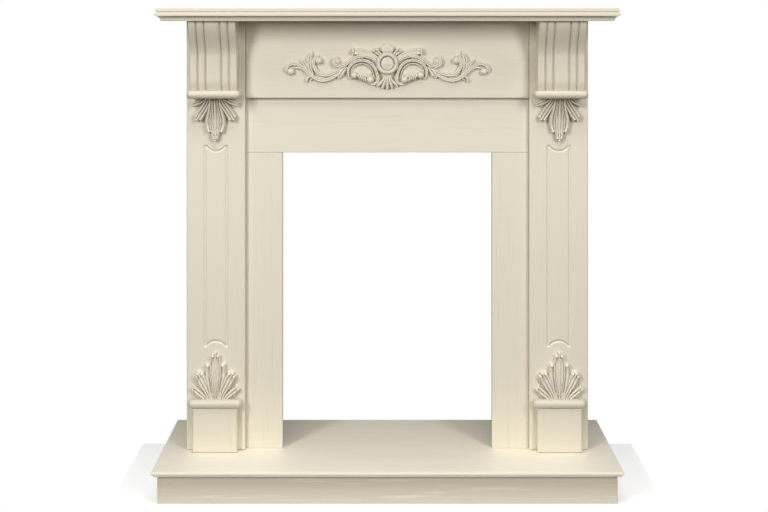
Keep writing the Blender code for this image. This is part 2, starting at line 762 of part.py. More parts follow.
def ornament_shapes():
    """Ring lists of every shape that the carved ornament is the union of."""
    shapes = [roundel_rings(), scroll_rings(*TOP_PETAL)]
    shapes += [fan_rings(share) for share in np.linspace(-1, 1, FAN_FLUTES)]
    half = [scroll_rings(*scroll) for scroll in HALF_SCROLLS]
    half += [
        knob_rings(centre, (radius, radius), height, KNOB_SIDES, KNOB_STEPS)
        for centre, radius, height in HALF_KNOBS
    ]
    half += [rib_rings(share) for share in np.linspace(0, 1, RIBS)]
    half.append(
        knob_rings(RECESS_CENTRE, RECESS_RADII, RECESS_HEIGHT, KNOB_SIDES, RECESS_STEPS)
    )
    return shapes + half + [mirrored(rings) for rings in half]


def placed(rings):
    """Drawn millimetres to metres on the frieze."""
    scale = ORNAMENT_WIDTH / DRAWN_WIDTH
    middle = FRIEZE_MIDDLE - ORNAMENT_DROP
    face = FACE - JOINT_GAP
    return [
        [(x * scale, face + y * scale, middle + z * scale) for x, y, z in ring]
        for ring in rings
    ]


def build_ornament(material):
    """All the scrolls joined into one carving, then cut flat at the back."""
    shapes = [loft(placed(rings)) for rings in ornament_shapes()]
    carving = add_object("frieze_ornament", shapes[0], material, CARVING_SMOOTH_DEGREES)
    for i, shape in enumerate(shapes[1:]):
        join = carving.modifiers.new(f"join_{i}", "BOOLEAN")
        join.operation = "UNION"
        join.solver = "MANIFOLD"
        join.object = helper(f"ornament_shape_{i}", shape)
    slab = bmesh.new()
    bmesh.ops.create_cube(slab, size=1.0)
    for vert in slab.verts:
        vert.co.x *= WIDTH
        vert.co.y = FACE - JOINT_GAP + (BOARD if vert.co.y > 0 else 0.0)
        vert.co.z = FRIEZE_MIDDLE + vert.co.z * FRIEZE_HEIGHT
    cut = carving.modifiers.new("flat_back", "BOOLEAN")
    cut.operation = "DIFFERENCE"
    cut.solver = "MANIFOLD"
    cut.object = helper("ornament_back", slab)


def main():
    clear_scene()
    boards = finish("ivory_boards", IVORY_BOARD)
    carving = finish("ivory_carving", IVORY_CARVING)
    hearth = finish("ivory_hearth", IVORY_HEARTH)
    build_shelf(boards)
    build_hearth(hearth)
    build_front(boards)
    build_pilasters(boards)
    build_corbels(carving)
    build_toruses(carving)
    build_base_blocks(boards)
    build_leaves(carving)
    build_ornament(carving)


main()
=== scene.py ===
"""Dressed model of a fireplace mantelpiece: ivory-painted boards with an embossed wood
grain, applied carving in moulded composite, and a plain studio round it.

Metres, +Z up. The front faces -Y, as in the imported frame.
"""

from __future__ import annotations

import logging
import math
from dataclasses import dataclass, replace
from enum import Enum
from typing import Sequence

import bmesh
import bpy
import numpy as np
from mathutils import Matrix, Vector


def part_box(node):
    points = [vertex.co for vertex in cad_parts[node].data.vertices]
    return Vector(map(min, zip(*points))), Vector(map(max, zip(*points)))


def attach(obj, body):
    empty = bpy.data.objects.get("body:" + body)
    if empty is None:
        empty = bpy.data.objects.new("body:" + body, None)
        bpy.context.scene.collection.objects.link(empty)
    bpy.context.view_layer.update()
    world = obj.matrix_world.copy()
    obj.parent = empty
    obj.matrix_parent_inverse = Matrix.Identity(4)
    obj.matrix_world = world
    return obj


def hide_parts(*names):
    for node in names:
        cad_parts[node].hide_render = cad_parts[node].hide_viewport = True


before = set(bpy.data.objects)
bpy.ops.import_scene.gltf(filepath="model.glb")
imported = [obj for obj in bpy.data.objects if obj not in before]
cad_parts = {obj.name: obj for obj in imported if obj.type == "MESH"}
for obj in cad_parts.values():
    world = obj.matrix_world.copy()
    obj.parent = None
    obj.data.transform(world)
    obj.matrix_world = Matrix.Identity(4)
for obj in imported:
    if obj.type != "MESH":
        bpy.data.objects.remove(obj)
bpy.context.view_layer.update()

MM = 0.001
SIDES = ("left", "right")
LOG = logging.getLogger("mantelpiece")

# How far an edge profile runs in along a board's flat faces
FACE_RUN = 20 * MM
# Darker paint for the plinth boards: painted shade for the shade under the slab's nose
SHADED_PLINTH_COLOUR = "C3BBA6"

Route = tuple[tuple[float, float], ...]


# Node and colour helpers

def linear(hex_colour: str) -> tuple[float, float, float, float]:
    """Turns an sRGB hex colour into linear light.

    Args:
        hex_colour: Six hex digits, such as "E3DCC8".

    Returns:
        Red, green, blue and an alpha of 1, each channel c as c / 12.92 up to 0.04045 and
        ((c + 0.055) / 1.055) to the power 2.4 above it.
    """
    channels = np.array([int(hex_colour[i : i + 2], 16) for i in (0, 2, 4)]) / 255
    low = channels / 12.92
    high = ((channels + 0.055) / 1.055) ** 2.4
    red, green, blue = np.where(channels <= 0.04045, low, high)
    return float(red), float(green), float(blue), 1.0


def add_node(
    tree: bpy.types.NodeTree, kind: str, inputs: dict | None = None, **settings: object
) -> bpy.types.Node:
    """Adds one node with its settings and links.

    Args:
        tree: The node tree that gets the node.
        kind: The node's type name.
        inputs: Socket name or number to a value, or to the output socket that feeds it.
        **settings: The node's own properties.

    Returns:
        The new node.
    """
    made = tree.nodes.new(kind)
    for key, value in settings.items():
        setattr(made, key, value)
    for key, value in (inputs or {}).items():
        if isinstance(value, bpy.types.NodeSocket):
            tree.links.new(value, made.inputs[key])
        else:
            made.inputs[key].default_value = value
    return made


def add_object(name: str, data: bpy.types.ID) -> bpy.types.Object:
    """Puts new data into the scene as an object at the origin.

    Args:
        name: The object's name.
        data: Its mesh, light or camera.

    Returns:
        The object.
    """
    made = bpy.data.objects.new(name, data)
    bpy.context.scene.collection.objects.link(made)
    return made


# Finishes

def start_paint(
    name: str, ripple: float
) -> tuple[bpy.types.Material, bpy.types.NodeSocket, bpy.types.NodeSocket]:
    """Starts a sprayed paint.

    Args:
        name: The material's name.
        ripple: Size of the spray's ripple.

    Returns:
        The material, its Object coordinates and the ripple's noise.
    """
    made = bpy.data.materials.new(name)
    made.use_nodes = True
    place = add_node(made.node_tree, "ShaderNodeTexCoord").outputs["Object"]
    spray = add_node(made.node_tree, "ShaderNodeTexNoise", {
        "Vector": place, "Scale": 1 / ripple, "Detail": 2.0,
    })
    return made, place, spray.outputs["Fac"]


def finish_paint(
    made: bpy.types.Material, tint: bpy.types.Node, sheen: bpy.types.Node,
    height: bpy.types.NodeSocket, distance: float,
) -> None:
    """Links a paint's patterns to its shader.

    Args:
        made: The material.
        tint: The mix that gives the colour.
        sheen: The node that gives the roughness.
        height: The bump's height.
        distance: What a height of 1 stands for.
    """
    shader = made.node_tree.nodes["Principled BSDF"]
    bump = add_node(made.node_tree, "ShaderNodeBump", {
        "Height": height, "Distance": distance, "Strength": 0.8,
    })
    made.node_tree.links.new(tint.outputs["Result"], shader.inputs["Base Color"])
    made.node_tree.links.new(sheen.outputs[0], shader.inputs["Roughness"])
    made.node_tree.links.new(bump.outputs[0], shader.inputs["Normal"])
    shader.inputs["IOR"].default_value = 1.5
    shader.inputs["Metallic"].default_value = 0.0


class Grain(Enum):
    """Which way the embossed grain runs on a board: its stretch along x, y and z."""

    ACROSS = (1.0, 0.0, 0.0)
    UPRIGHT = (0.0, 0.0, 1.0)
    TO_WALL = (0.0, 1.0, 0.0)


@dataclass(frozen=True)
class GrainedPaint:
    """Sprayed satin paint over fibreboard faced with an embossed wood-grain film.

    The film's pores leave long shallow furrows that the paint only half fills, so the
    eye sees faint streaks that follow each board, and a soft sheen between them.
    """

    name: str
    slot: str
    grain: Grain
    colour: str = "E3DCC8"
    furrow_colour: str = "DBD3BE"
    roughness: float = 0.46
    streak_width: float = 2.6 * MM
    streak_length: float = 85 * MM
    furrow_depth: float = 0.06 * MM
    furrow_span: tuple[float, float] = (0.52, 0.72)
    band_width: float = 24 * MM
    band_stretch: float = 14.0
    band_span: tuple[float, float] = (0.35, 0.65)
    ripple: float = 2.2 * MM
    ripple_depth: float = 0.03 * MM
    sheen_swing: float = 0.05

    def scales(self, width: float, length: float) -> tuple[float, float, float]:
        """Pattern scale on each axis: one over the length along the grain, else width."""
        return tuple(1 / length if part else 1 / width for part in self.grain.value)

    def material(self) -> bpy.types.Material:
        """Builds the finish.

        Returns:
            A material on Object coordinates. Furrows are noise stretched along the
            grain, bands are a wider and longer noise, and ripple is the spray's texture.
        """
        made, place, spray = start_paint(self.name, self.ripple)
        tree = made.node_tree
        streaks = add_node(tree, "ShaderNodeMapping", {
            "Vector": place, "Scale": self.scales(self.streak_width, self.streak_length),
        })
        furrows = add_node(tree, "ShaderNodeTexNoise", {
            "Vector": streaks.outputs[0], "Scale": 1.0, "Detail": 3.0, "Roughness": 0.6,
            "Distortion": 0.2,
        })
        sharp = add_node(tree, "ShaderNodeMapRange", {
            "Value": furrows.outputs["Fac"], "From Min": self.furrow_span[0],
            "From Max": self.furrow_span[1],
        }, interpolation_type="SMOOTHSTEP")
        wide = add_node(tree, "ShaderNodeMapping", {
            "Vector": place,
            "Scale": self.scales(self.band_width, self.band_width * self.band_stretch),
        })
        bands = add_node(tree, "ShaderNodeTexNoise", {
            "Vector": wide.outputs[0], "Scale": 1.0, "Detail": 2.0, "Distortion": 0.6,
        })
        patch = add_node(tree, "ShaderNodeMapRange", {
            "Value": bands.outputs["Fac"], "From Min": self.band_span[0],
            "From Max": self.band_span[1],
        })
        amount = add_node(tree, "ShaderNodeMath", {
            0: sharp.outputs[0], 1: patch.outputs[0],
        }, operation="MULTIPLY")
        tint = add_node(tree, "ShaderNodeMix", {
            "Factor": amount.outputs[0], "A": linear(self.colour),
            "B": linear(self.furrow_colour),
        }, data_type="RGBA")
        sheen = add_node(tree, "ShaderNodeMapRange", {
            "Value": spray, "To Min": self.roughness - self.sheen_swing,
            "To Max": self.roughness + self.sheen_swing,
        })
        relief = add_node(tree, "ShaderNodeMath", {
            0: amount.outputs[0], 1: -self.furrow_depth,
        }, operation="MULTIPLY")
        height = add_node(tree, "ShaderNodeMath", {
            0: spray, 1: self.ripple_depth, 2: relief.outputs[0],
        }, operation="MULTIPLY_ADD")
        finish_paint(made, tint, sheen, height.outputs[0], 1.0)
        return made


@dataclass(frozen=True)
class CastPaint:
    """The same paint on ornament pressed from wood composite, which has no grain.

    Hollows are darkened towards a dark colour as painted shade and crests are lightened
    towards a pale colour as a painted highlight, by Pointiness, with a random mottle and a
    fine spray ripple on the sheen. The two spans say between which values of Pointiness,
    0.5 being flat, the painted shade and the painted highlight come in.
    """

    name: str
    colour: str
    # Paler colour on crests: a painted highlight
    painted_highlight_colour: str
    # Pointiness span over which hollows take the painted shade
    painted_shade_span: tuple[float, float]
    # Pointiness span over which crests take the painted highlight
    painted_highlight_span: tuple[float, float] = (0.505, 0.54)
    slot: str = "ivory_carving"
    # Dark colour in hollows: painted shade
    painted_shade_colour: str = "8F876F"
    roughness: float = 0.38
    mottle: float = 9 * MM
    mottle_share: float = 0.12
    ripple: float = 1.8 * MM
    ripple_depth: float = 0.05 * MM
    sheen_fall: float = 0.05
    sheen_rise: float = 0.06

    def material(self) -> bpy.types.Material:
        """Builds the finish.

        Returns:
            A material with painted shade darkening its hollows and a painted highlight
            lightening its crests, by Pointiness, with a slow random mottle and a fine spray
            ripple on Object coordinates.
        """
        made, place, spray = start_paint(self.name, self.ripple)
        tree = made.node_tree
        bend = add_node(tree, "ShaderNodeNewGeometry").outputs["Pointiness"]
        # Painted shade: hollows darken towards the dark colour
        hollow = add_node(tree, "ShaderNodeMapRange", {
            "Value": bend, "From Min": self.painted_shade_span[0],
            "From Max": self.painted_shade_span[1],
        }, interpolation_type="SMOOTHSTEP")
        mottle = add_node(tree, "ShaderNodeTexNoise", {
            "Vector": place, "Scale": 1 / self.mottle, "Detail": 3.0,
        })
        # The painted shade plus a slow random mottle
        amount = add_node(tree, "ShaderNodeMath", {
            0: mottle.outputs["Fac"], 1: self.mottle_share, 2: hollow.outputs[0],
        }, operation="MULTIPLY_ADD", use_clamp=True)
        # Painted highlight: crests lighten towards the pale colour
        ridge = add_node(tree, "ShaderNodeMapRange", {
            "Value": bend, "From Min": self.painted_highlight_span[0],
            "From Max": self.painted_highlight_span[1],
        }, interpolation_type="SMOOTHSTEP")
        body = add_node(tree, "ShaderNodeMix", {
            "Factor": ridge.outputs[0], "A": linear(self.colour),
            "B": linear(self.painted_highlight_colour),
        }, data_type="RGBA")
        tint = add_node(tree, "ShaderNodeMix", {
            "Factor": amount.outputs[0], "A": body.outputs["Result"],
            "B": linear(self.painted_shade_colour),
        }, data_type="RGBA")
        sheen = add_node(tree, "ShaderNodeMapRange", {
            "Value": spray, "To Min": self.roughness - self.sheen_fall,
            "To Max": self.roughness + self.sheen_rise,
        })
        finish_paint(made, tint, sheen, spray, self.ripple_depth)
        return made


# Surfaces

def grid_faces(rows: int, sides: int) -> np.ndarray:
    """Quads between neighbouring rings of a closed tube.

    Args:
        rows: How many rings.
        sides: Points in each ring; the last joins the first.

    Returns:
        Corner numbers, four to a face.
    """
    row = np.arange(rows - 1)[:, None] * sides
    side = np.arange(sides)[None, :]
    after = (side + 1) % sides
    quads = np.stack([row + side, row + after, row + sides + after, row + sides + side], -1)
    return quads.reshape(-1, 4)


def piece_from_rings(
    name: str, shapes: Sequence[np.ndarray], smooth_degrees: float
) -> bpy.types.Object:
    """Makes one object of closed tubes, each given as rings of points.

    Args:
        name: The object's name.
        shapes: Arrays of (rings, points in a ring, 3). Both ends are filled.
        smooth_degrees: Edges that bend less than this are shaded smooth.

    Returns:
        The object, at the origin, its faces outward.
    """
    points: list[np.ndarray] = []
    faces: list[list[int]] = []
    start = 0
    for rings in shapes:
        rows, sides, _ = rings.shape
        ends = np.stack([
            np.arange(sides)[::-1], (rows - 1) * sides + np.arange(sides),
        ])
        faces += (grid_faces(rows, sides) + start).tolist() + (ends + start).tolist()
        points.append(rings.reshape(-1, 3))
        start += rows * sides
    mesh = bpy.data.meshes.new(name)
    mesh.from_pydata(np.vstack(points).tolist(), [], faces)
    shape = bmesh.new()
    shape.from_mesh(mesh)
    bmesh.ops.recalc_face_normals(shape, faces=shape.faces)
    shape.to_mesh(mesh)
    shape.free()
    mesh.shade_smooth()
    mesh.set_sharp_from_angle(angle=math.radians(smooth_degrees))
    return add_object(name, mesh)


def eased(corners: Sequence[tuple[float, float]], radii: Sequence[float]) -> np.ndarray:
    """Rounds the inner corners of an open profile.

    A corner C becomes the curve (1-t)^2 A + 2t(1-t) C + t^2 B for t from 0 to 1, where A
    and B lie one radius away from C on the two sides that meet there.

    Args:
        corners: The profile's points.
        radii: One radius for each point between the first and the last.

    Returns:
        The rounded profile's points.
    """
    given = np.asarray(corners, float)
    middle = given[1:-1]
    sides = np.stack([given[:-2] - middle, given[2:] - middle])
    sides *= (np.asarray(radii) / np.linalg.norm(sides, axis=-1))[..., None]
    first, last = middle + sides
    t = np.linspace(0, 1, 6)[:, None]
    curves = (
        (1 - t) ** 2 * first[:, None] + 2 * t * (1 - t) * middle[:, None]
        + t**2 * last[:, None]
    )
    return np.vstack([given[:1], curves.reshape(-1, 2), given[-1:]])


def carried_round(
    profile: np.ndarray, low: Vector, high: Vector, corner: np.ndarray | float
) -> np.ndarray:
    """Carries a profile along the front of a box and back along both ends.

    A profile point (inset, height) gives a level ring that stands in from the box's
    front and ends by the inset, its two front corners being quarter circles.

    Args:
        profile: Points of (inset, height).
        low: The box's lowest corner.
        high: Its highest corner.
        corner: Radius of the ring's front corners, one for all or one for each point.

    Returns:
        Rings of points, one for each profile point.
    """
    inset, height = profile[:, :1], profile[:, 1:]
    radius = np.broadcast_to(np.reshape(corner, (-1, 1)), inset.shape)
    turn = np.linspace(0, np.pi / 2, 9)[None, :]
    left_x = low.x + inset + radius * (1 - np.cos(turn))
    left_y = low.y + inset + radius * (1 - np.sin(turn))
    right_x = (low.x + high.x) - left_x[:, ::-1]
    right_y = left_y[:, ::-1]
    back = np.full_like(inset, high.y)
    xs = np.hstack([low.x + inset, left_x, right_x, high.x - inset])
    ys = np.hstack([back, left_y, right_y, back])
    return np.stack([xs, ys, np.broadcast_to(height, xs.shape)], axis=-1)


def settle(piece: bpy.types.Object) -> None:
    """Applies a piece's modifiers to its mesh.

    Args:
        piece: The piece, which keeps its name and place.
    """
    view = bpy.context.evaluated_depsgraph_get()
    mesh = bpy.data.meshes.new_from_object(piece.evaluated_get(view))
    piece.modifiers.clear()
    piece.data = mesh


def register(
    piece: bpy.types.Object, node: str,
    material: bpy.types.Material,
) -> None:
    """Puts a new piece in its node's place, with its finish, and reports it.

    Args:
        piece: The new piece.
        node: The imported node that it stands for.
        material: The material built from that finish.
    """
    piece.data.materials.clear()
    piece.data.materials.append(material)
    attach(piece, "root")
    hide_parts(node)
    faces = sum(len(face.vertices) - 2 for face in piece.data.polygons)
    LOG.info("%s: %d triangles", piece.name, faces)


# Boards and mouldings

@dataclass
class Boards:
    """The plain boards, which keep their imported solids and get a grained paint."""

    across: tuple[str, ...] = ("frieze_panel", "lintel_panel")
    upright: tuple[str, ...] = (
        "slip_left", "slip_right", "pilaster_left", "pilaster_right",
        "side_panel_left", "side_panel_right", "base_block_left", "base_block_right",
    )
    hearth: tuple[str, ...] = ("plinth_front", "plinth_back")
    hearth_ends: tuple[str, ...] = ("plinth_end_left", "plinth_end_right")

    def dress(self) -> None:
        """Gives each board the paint whose grain runs along it."""
        sets = (
            (self.across, GrainedPaint(
                "satin_paint_level_grain", "ivory_boards", Grain.ACROSS,
            )),
            (self.upright, GrainedPaint(
                "satin_paint_upright_grain", "ivory_boards", Grain.UPRIGHT,
            )),
            # The plinth boards take the darker paint as painted shade
            (self.hearth, GrainedPaint(
                "satin_paint_hearth", "ivory_hearth", Grain.ACROSS, SHADED_PLINTH_COLOUR,
            )),
            (self.hearth_ends, GrainedPaint(
                "satin_paint_hearth_ends", "ivory_hearth", Grain.TO_WALL, SHADED_PLINTH_COLOUR,
            )),
        )
        for nodes, finish in sets:
            material = finish.material()
            for name in nodes:
                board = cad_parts[name]
                for place in board.material_slots:
                    place.material = material
                LOG.info("%s: %s", name, finish.name)


@dataclass
class Shelf:
    """The mantel shelf, with two bands and a groove on its edge, and its cove."""

    step: float = 2.0 * MM
    groove_height: float = 8.2 * MM
    groove_width: float = 2.6 * MM
    groove_depth: float = 2.8 * MM
    groove_floor: float = 0.5 * MM
    edge: float = 1.6 * MM
    arris: float = 0.8 * MM
    cove_inset: float = 11.2 * MM
    cove_radius: float = 8.0 * MM
    cove_gap: float = 0.2 * MM
    cove_foot_arris: float = 0.4 * MM
    cove_arris: float = 0.3 * MM
    fillet: float = 1.0 * MM
    mitre: float = 1.2 * MM

    def build_top(self) -> bpy.types.Object:
        """The board whose edge profile runs up two bands with a rounded groove between.

        Returns:
            The shelf.
        """
        low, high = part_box("mantel_shelf")
        middle = low.z + self.groove_height
        half = self.groove_width / 2
        profile = eased(
            (
                (FACE_RUN, low.z), (0.0, low.z), (0.0, middle - half),
                (self.step + self.groove_depth, middle), (self.step, middle + half),
                (self.step, high.z), (FACE_RUN, high.z),
            ),
            (self.arris, self.arris, self.groove_floor, self.arris, self.edge),
        )
        rings = carried_round(profile, low, high, self.mitre)
        return piece_from_rings("shelf_board", [rings], 40)

    def build_cove(self) -> bpy.types.Object:
        """The moulding under it: a fillet, then a hollow quarter round out to the shelf.

        The hollow is (foot - fillet - r (1 - cos v), start + r sin v), v from 0 to 90
        degrees, and the foot stands in from the shelf's edge.

        Returns:
            The cove moulding.
        """
        shelf_low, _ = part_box("mantel_shelf")
        low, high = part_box("shelf_cove_moulding")
        foot = self.cove_inset
        start = high.z - self.cove_radius - self.cove_gap
        turn = np.linspace(0, np.pi / 2, 17)
        hollow = np.stack([
            foot - self.fillet - self.cove_radius * (1 - np.cos(turn)),
            start + self.cove_radius * np.sin(turn),
        ], axis=-1)
        profile = np.vstack([
            [
                (foot + FACE_RUN / 2, low.z), (foot + self.cove_foot_arris, low.z),
                (foot, low.z + self.cove_foot_arris), (foot, start - self.cove_arris),
                (foot - self.cove_arris, start),
            ],
            hollow, [(FACE_RUN, high.z)],
        ])
        outer_low = Vector((shelf_low.x, shelf_low.y, low.z))
        outer_high = Vector((-shelf_low.x, high.y, high.z))
        rings = carried_round(profile, outer_low, outer_high, self.mitre)
        return piece_from_rings("shelf_cove", [rings], 40)

    def dress(self, top: bpy.types.Object, cove: bpy.types.Object) -> None:
        """Paints both in a darker tone as painted shade, their grain along the shelf.

        Args:
            top: The shelf's board.
            cove: The moulding under it.
        """
        # A darker tone than the boards' paint: painted shade
        finish = GrainedPaint("satin_paint_shelf_painted_shade", "ivory_boards", Grain.ACROSS, "D5CEBA")
        material = finish.material()
        register(top, "mantel_shelf", material)
        register(cove, "shelf_cove_moulding", material)


@dataclass
class Hearth:
    """The hearth slab with its moulded nose."""

    nose_height: float = 6.2 * MM
    step: float = 4.0 * MM
    nose: float = 2.4 * MM
    arris: float = 0.7 * MM
    slope: float = 0.4 * MM
    mitre: float = 1.5 * MM

    def build(self) -> bpy.types.Object:
        """The slab, whose edge runs up a set-back fillet to a rounded nose over it.

        Returns:
            The slab.
        """
        low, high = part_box("hearth_slab")
        level = high.z - self.nose_height
        profile = eased(
            (
                (FACE_RUN, low.z), (self.step, low.z), (self.step, level),
                (0.0, level + self.slope), (0.0, high.z), (FACE_RUN, high.z),
            ),
            (self.arris, self.slope, self.arris, self.nose),
        )
        rings = carried_round(profile, low, high, self.mitre)
        return piece_from_rings("hearth_board", [rings], 40)

    def dress(self, slab: bpy.types.Object) -> None:
        """Paints the slab in a paler tone as painted light, its grain along the front."""
        # A paler tone than the boards' paint: painted light on the slab's top
        finish = GrainedPaint("satin_paint_slab_painted_light", "ivory_hearth", Grain.ACROSS, "EDE6D4")
        register(slab, "hearth_slab", finish.material())


@dataclass
class HalfRound:
    """A half-round moulding that returns round its ends to the pilaster."""

    node: str
    lip: float = 1.0 * MM

    def build(self) -> bpy.types.Object:
        """Half a circle carried round three sides; its corners share one centre.

        Returns:
            The moulding.
        """
        low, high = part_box(self.node)
        radius = (high.z - low.z) / 2
        turn = np.linspace(-np.pi / 2, np.pi / 2, 25)
        inset = radius * (1 - np.cos(turn))
        profile = np.stack([inset, low.z + radius * (1 + np.sin(turn))], axis=-1)
        rings = carried_round(profile, low, high, radius + self.lip - inset)
        return piece_from_rings(f"{self.node}_moulding", [rings], 50)


@dataclass
class Corbel:
    """A bracket with five reeds: its face sweeps back from the shelf to a straight foot."""

    node: str
    sweep_height: float = 72 * MM
    foot_reach: float = 41 * MM
    tuck: float = 5 * MM
    tuck_height: float = 20 * MM
    top_edge: float = 1.6 * MM
    groove_width: float = 6.0 * MM
    groove_depth: float = 5.5 * MM
    groove_lip: float = 1.8 * MM
    groove_floor: float = 0.5 * MM
    side_depth: float = 6 * MM
    arris: float = 3.0 * MM
    grooves: tuple[float, ...] = (1 / 6, 1 / 3, 2 / 3, 5 / 6)

    def face(self, width: float) -> np.ndarray:
        """Across the face: (offset, depth), flat reeds with rounded V grooves between.

        Args:
            width: The corbel's width.

        Returns:
            Profile points from the left side to the right.
        """
        half = width / 2
        spread = self.groove_width / 2
        middles = np.array(self.grooves) * width - half
        corners = [(-half, self.side_depth), (-half, 0.0)]
        radii = [self.arris]
        for middle in middles:
            corners += [
                (middle - spread, 0.0), (middle, self.groove_depth), (middle + spread, 0.0),
            ]
            radii += [self.groove_lip, self.groove_floor, self.groove_lip]
        corners += [(half, 0.0), (half, self.side_depth)]
        radii.append(self.arris)
        return eased(corners, radii)

    def build(self) -> bpy.types.Object:
        """Level rings whose front follows reach(height) plus the face's own depth.

        The reach eases from the top's to the foot's as 3s^2 - 2s^3 of the share s of the
        sweep, then draws in over the foot by the square of the share of the tuck.

        Returns:
            The corbel.
        """
        low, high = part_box(self.node)
        height = high.z - low.z
        above = np.unique(np.concatenate([
            np.linspace(0, self.tuck_height, 12), np.linspace(self.tuck_height, height, 60),
            height - self.top_edge * (1 - np.sin(np.linspace(0, np.pi / 2, 8))),
        ]))
        sweep = np.clip((height - above) / self.sweep_height, 0, 1)
        ease = sweep**2 * (3 - 2 * sweep)
        top_reach = high.y - low.y
        reach = top_reach + (self.foot_reach - top_reach) * ease
        reach -= self.tuck * np.clip(1 - above / self.tuck_height, 0, 1) ** 2
        edge = np.clip(1 - (height - above) / self.top_edge, 0, 1)
        reach -= self.top_edge * (1 - np.sqrt(1 - edge**2))
        face = self.face(high.x - low.x)
        centre = (low.x + high.x) / 2
        xs = np.concatenate([centre + face[:, 0], [high.x, low.x]])
        depth = np.concatenate([face[:, 1], [0.0, 0.0]])
        ys = high.y - reach[:, None] + depth[None, :]
        ys[:, -2:] = high.y
        shape = (len(above), len(xs))
        rings = np.stack([
            np.broadcast_to(xs, shape), ys, np.broadcast_to((low.z + above)[:, None], shape),
        ], axis=-1)
        return piece_from_rings(f"{self.node}_reeded", [rings], 50)


# Carving

class Section(Enum):
    """Cross-section of a carved strand: how square it is, and its middle channel.

    The values are the power of the half round, the channel's depth as a share of the
    height, and its half-width as a share of the strand's.
    """

    ROUND = (0.9, 0.0, 0.5)
    BANDED = (0.6, 0.28, 0.3)
    VEINED = (0.8, 0.45, 0.22)
    FLAT = (0.35, 0.0, 0.5)
    RIMMED = (0.3, 0.22, 0.62)
    SOFT = (1.0, 0.0, 0.5)


def read_along(values: Sequence[float], marks: np.ndarray) -> np.ndarray:
    """Values given evenly along a route, read off at the marks, which run from 0 to 1."""
    return np.interp(marks, np.linspace(0, 1, len(values)), values)


def square_to(line: np.ndarray) -> np.ndarray:
    """Unit vectors square to a line of points.

    Args:
        line: The points, in order.

    Returns:
        One vector for each point, to the left of the line's direction there.
    """
    ahead = np.gradient(line, axis=0)
    ahead /= np.linalg.norm(ahead, axis=1, keepdims=True)
    return np.stack([-ahead[:, 1], ahead[:, 0]], axis=-1)


@dataclass(frozen=True)
class Strand:
    """One carved strand: a route in drawn millimetres, half-widths and heights along it.

    Its ends are rounded off over the half-width there, or over end_run where that is
    more, and are still end_height of the height at the very end.
    """

    route: Route
    widths: tuple[float, ...]
    heights: tuple[float, ...]
    section: Section = Section.ROUND
    end_run: float = 0.8
    end_height: float = 0.35

    def mirrored(self) -> Strand:
        """The same strand on the other side of the middle."""
        return replace(self, route=tuple((-x, z) for x, z in self.route))

    def line(self, spacing: float) -> tuple[np.ndarray, float]:
        """Evenly spaced points on the smooth curve through the route.

        Between two given points b and c, with a before and d after them, the curve is
        half of 2b + (c-a)t + (2a-5b+4c-d)t^2 + (3b-a-3c+d)t^3.

        Args:
            spacing: Distance between points, in drawn millimetres.

        Returns:
            The points, and the curve's length.
        """
        knots = np.array(self.route, float)
        padded = np.vstack([2 * knots[0] - knots[1], knots, 2 * knots[-1] - knots[-2]])
        share = np.linspace(0, len(knots) - 1, 40 * len(knots))
        i = np.minimum(share.astype(int), len(knots) - 2)
        t = (share - i)[:, None]
        a, b, c, d = (padded[i + k] for k in range(4))
        curve = 0.5 * (
            2 * b + (c - a) * t + (2 * a - 5 * b + 4 * c - d) * t**2
            + (3 * b - a - 3 * c + d) * t**3
        )
        run = np.concatenate([[0], np.linalg.norm(np.diff(curve, axis=0), axis=1).cumsum()])
        marks = np.linspace(0, run[-1], max(int(run[-1] / spacing), 6))
        return np.stack([np.interp(marks, run, axis) for axis in curve.T], axis=-1), run[-1]

    def rings(self, spacing: float, behind: float) -> np.ndarray:
        """Sections along the route, rounded off at both ends.

        Across a section, with u from -1 to 1, the height is
        h (1-u^2)^(power/2) (1 - channel exp(-(u/spread)^2)).

        Args:
            spacing: Distance between rings, in drawn millimetres.
            behind: How far the strand runs behind its back plane.

        Returns:
            Rings of (across, height, up), in drawn millimetres.
        """
        line, length = self.line(spacing)
        share = np.linspace(0, 1, len(line))
        width = read_along(self.widths, share)
        height = read_along(self.heights, share)
        nearest = np.minimum(share, 1 - share) * length
        end = np.clip(nearest / np.maximum(width, self.end_run), 0.02, 1)
        round_off = np.sqrt(1 - (1 - end) ** 2)
        width = width * round_off
        height = height * (self.end_height + (1 - self.end_height) * round_off)
        power, channel, spread = self.section.value
        turn = np.linspace(0, np.pi, 21)
        across = np.cos(turn)
        rise = np.sin(turn) ** power * (1 - channel * np.exp(-((across / spread) ** 2)))
        across = np.concatenate([across, [-1, 1]])
        heights = np.hstack([
            height[:, None] * rise[None, :], np.full((len(line), 2), -behind),
        ])
        offset = (width[:, None] * across[None, :])[..., None]
        plan = line[:, None] + square_to(line)[:, None] * offset
        return np.stack([plan[..., 0], heights, plan[..., 1]], axis=-1)


@dataclass(frozen=True)
class Dome:
    """A boss on the back plane: an oval dome, in drawn millimetres."""

    centre: tuple[float, float]
    radii: tuple[float, float]
    height: float
    power: float = 1.0

    def mirrored(self) -> Dome:
        """The same dome on the other side of the middle."""
        return replace(self, centre=(-self.centre[0], self.centre[1]))

    def rings(self, spacing: float, behind: float) -> np.ndarray:
        """Rings at angle v from 0 to nearly 90 degrees: radius cos(v), height sin(v)^power.

        Args:
            spacing: Not used by a dome, which always has the same rings.
            behind: How far the skirt runs behind the back plane.

        Returns:
            Rings of (across, height, up), in drawn millimetres.
        """
        rise = np.linspace(0, np.pi / 2 * 0.97, 14)[:, None]
        turn = np.linspace(0, 2 * np.pi, 33)[None, :-1]
        xs = self.centre[0] + self.radii[0] * np.cos(rise) * np.cos(turn)
        zs = self.centre[1] + self.radii[1] * np.cos(rise) * np.sin(turn)
        heights = np.broadcast_to(self.height * np.sin(rise) ** self.power, xs.shape)
        dome = np.stack([xs, heights, zs], axis=-1)
        skirt = dome[:1].copy()
        skirt[..., 1] = -behind
        return np.concatenate([skirt, dome])


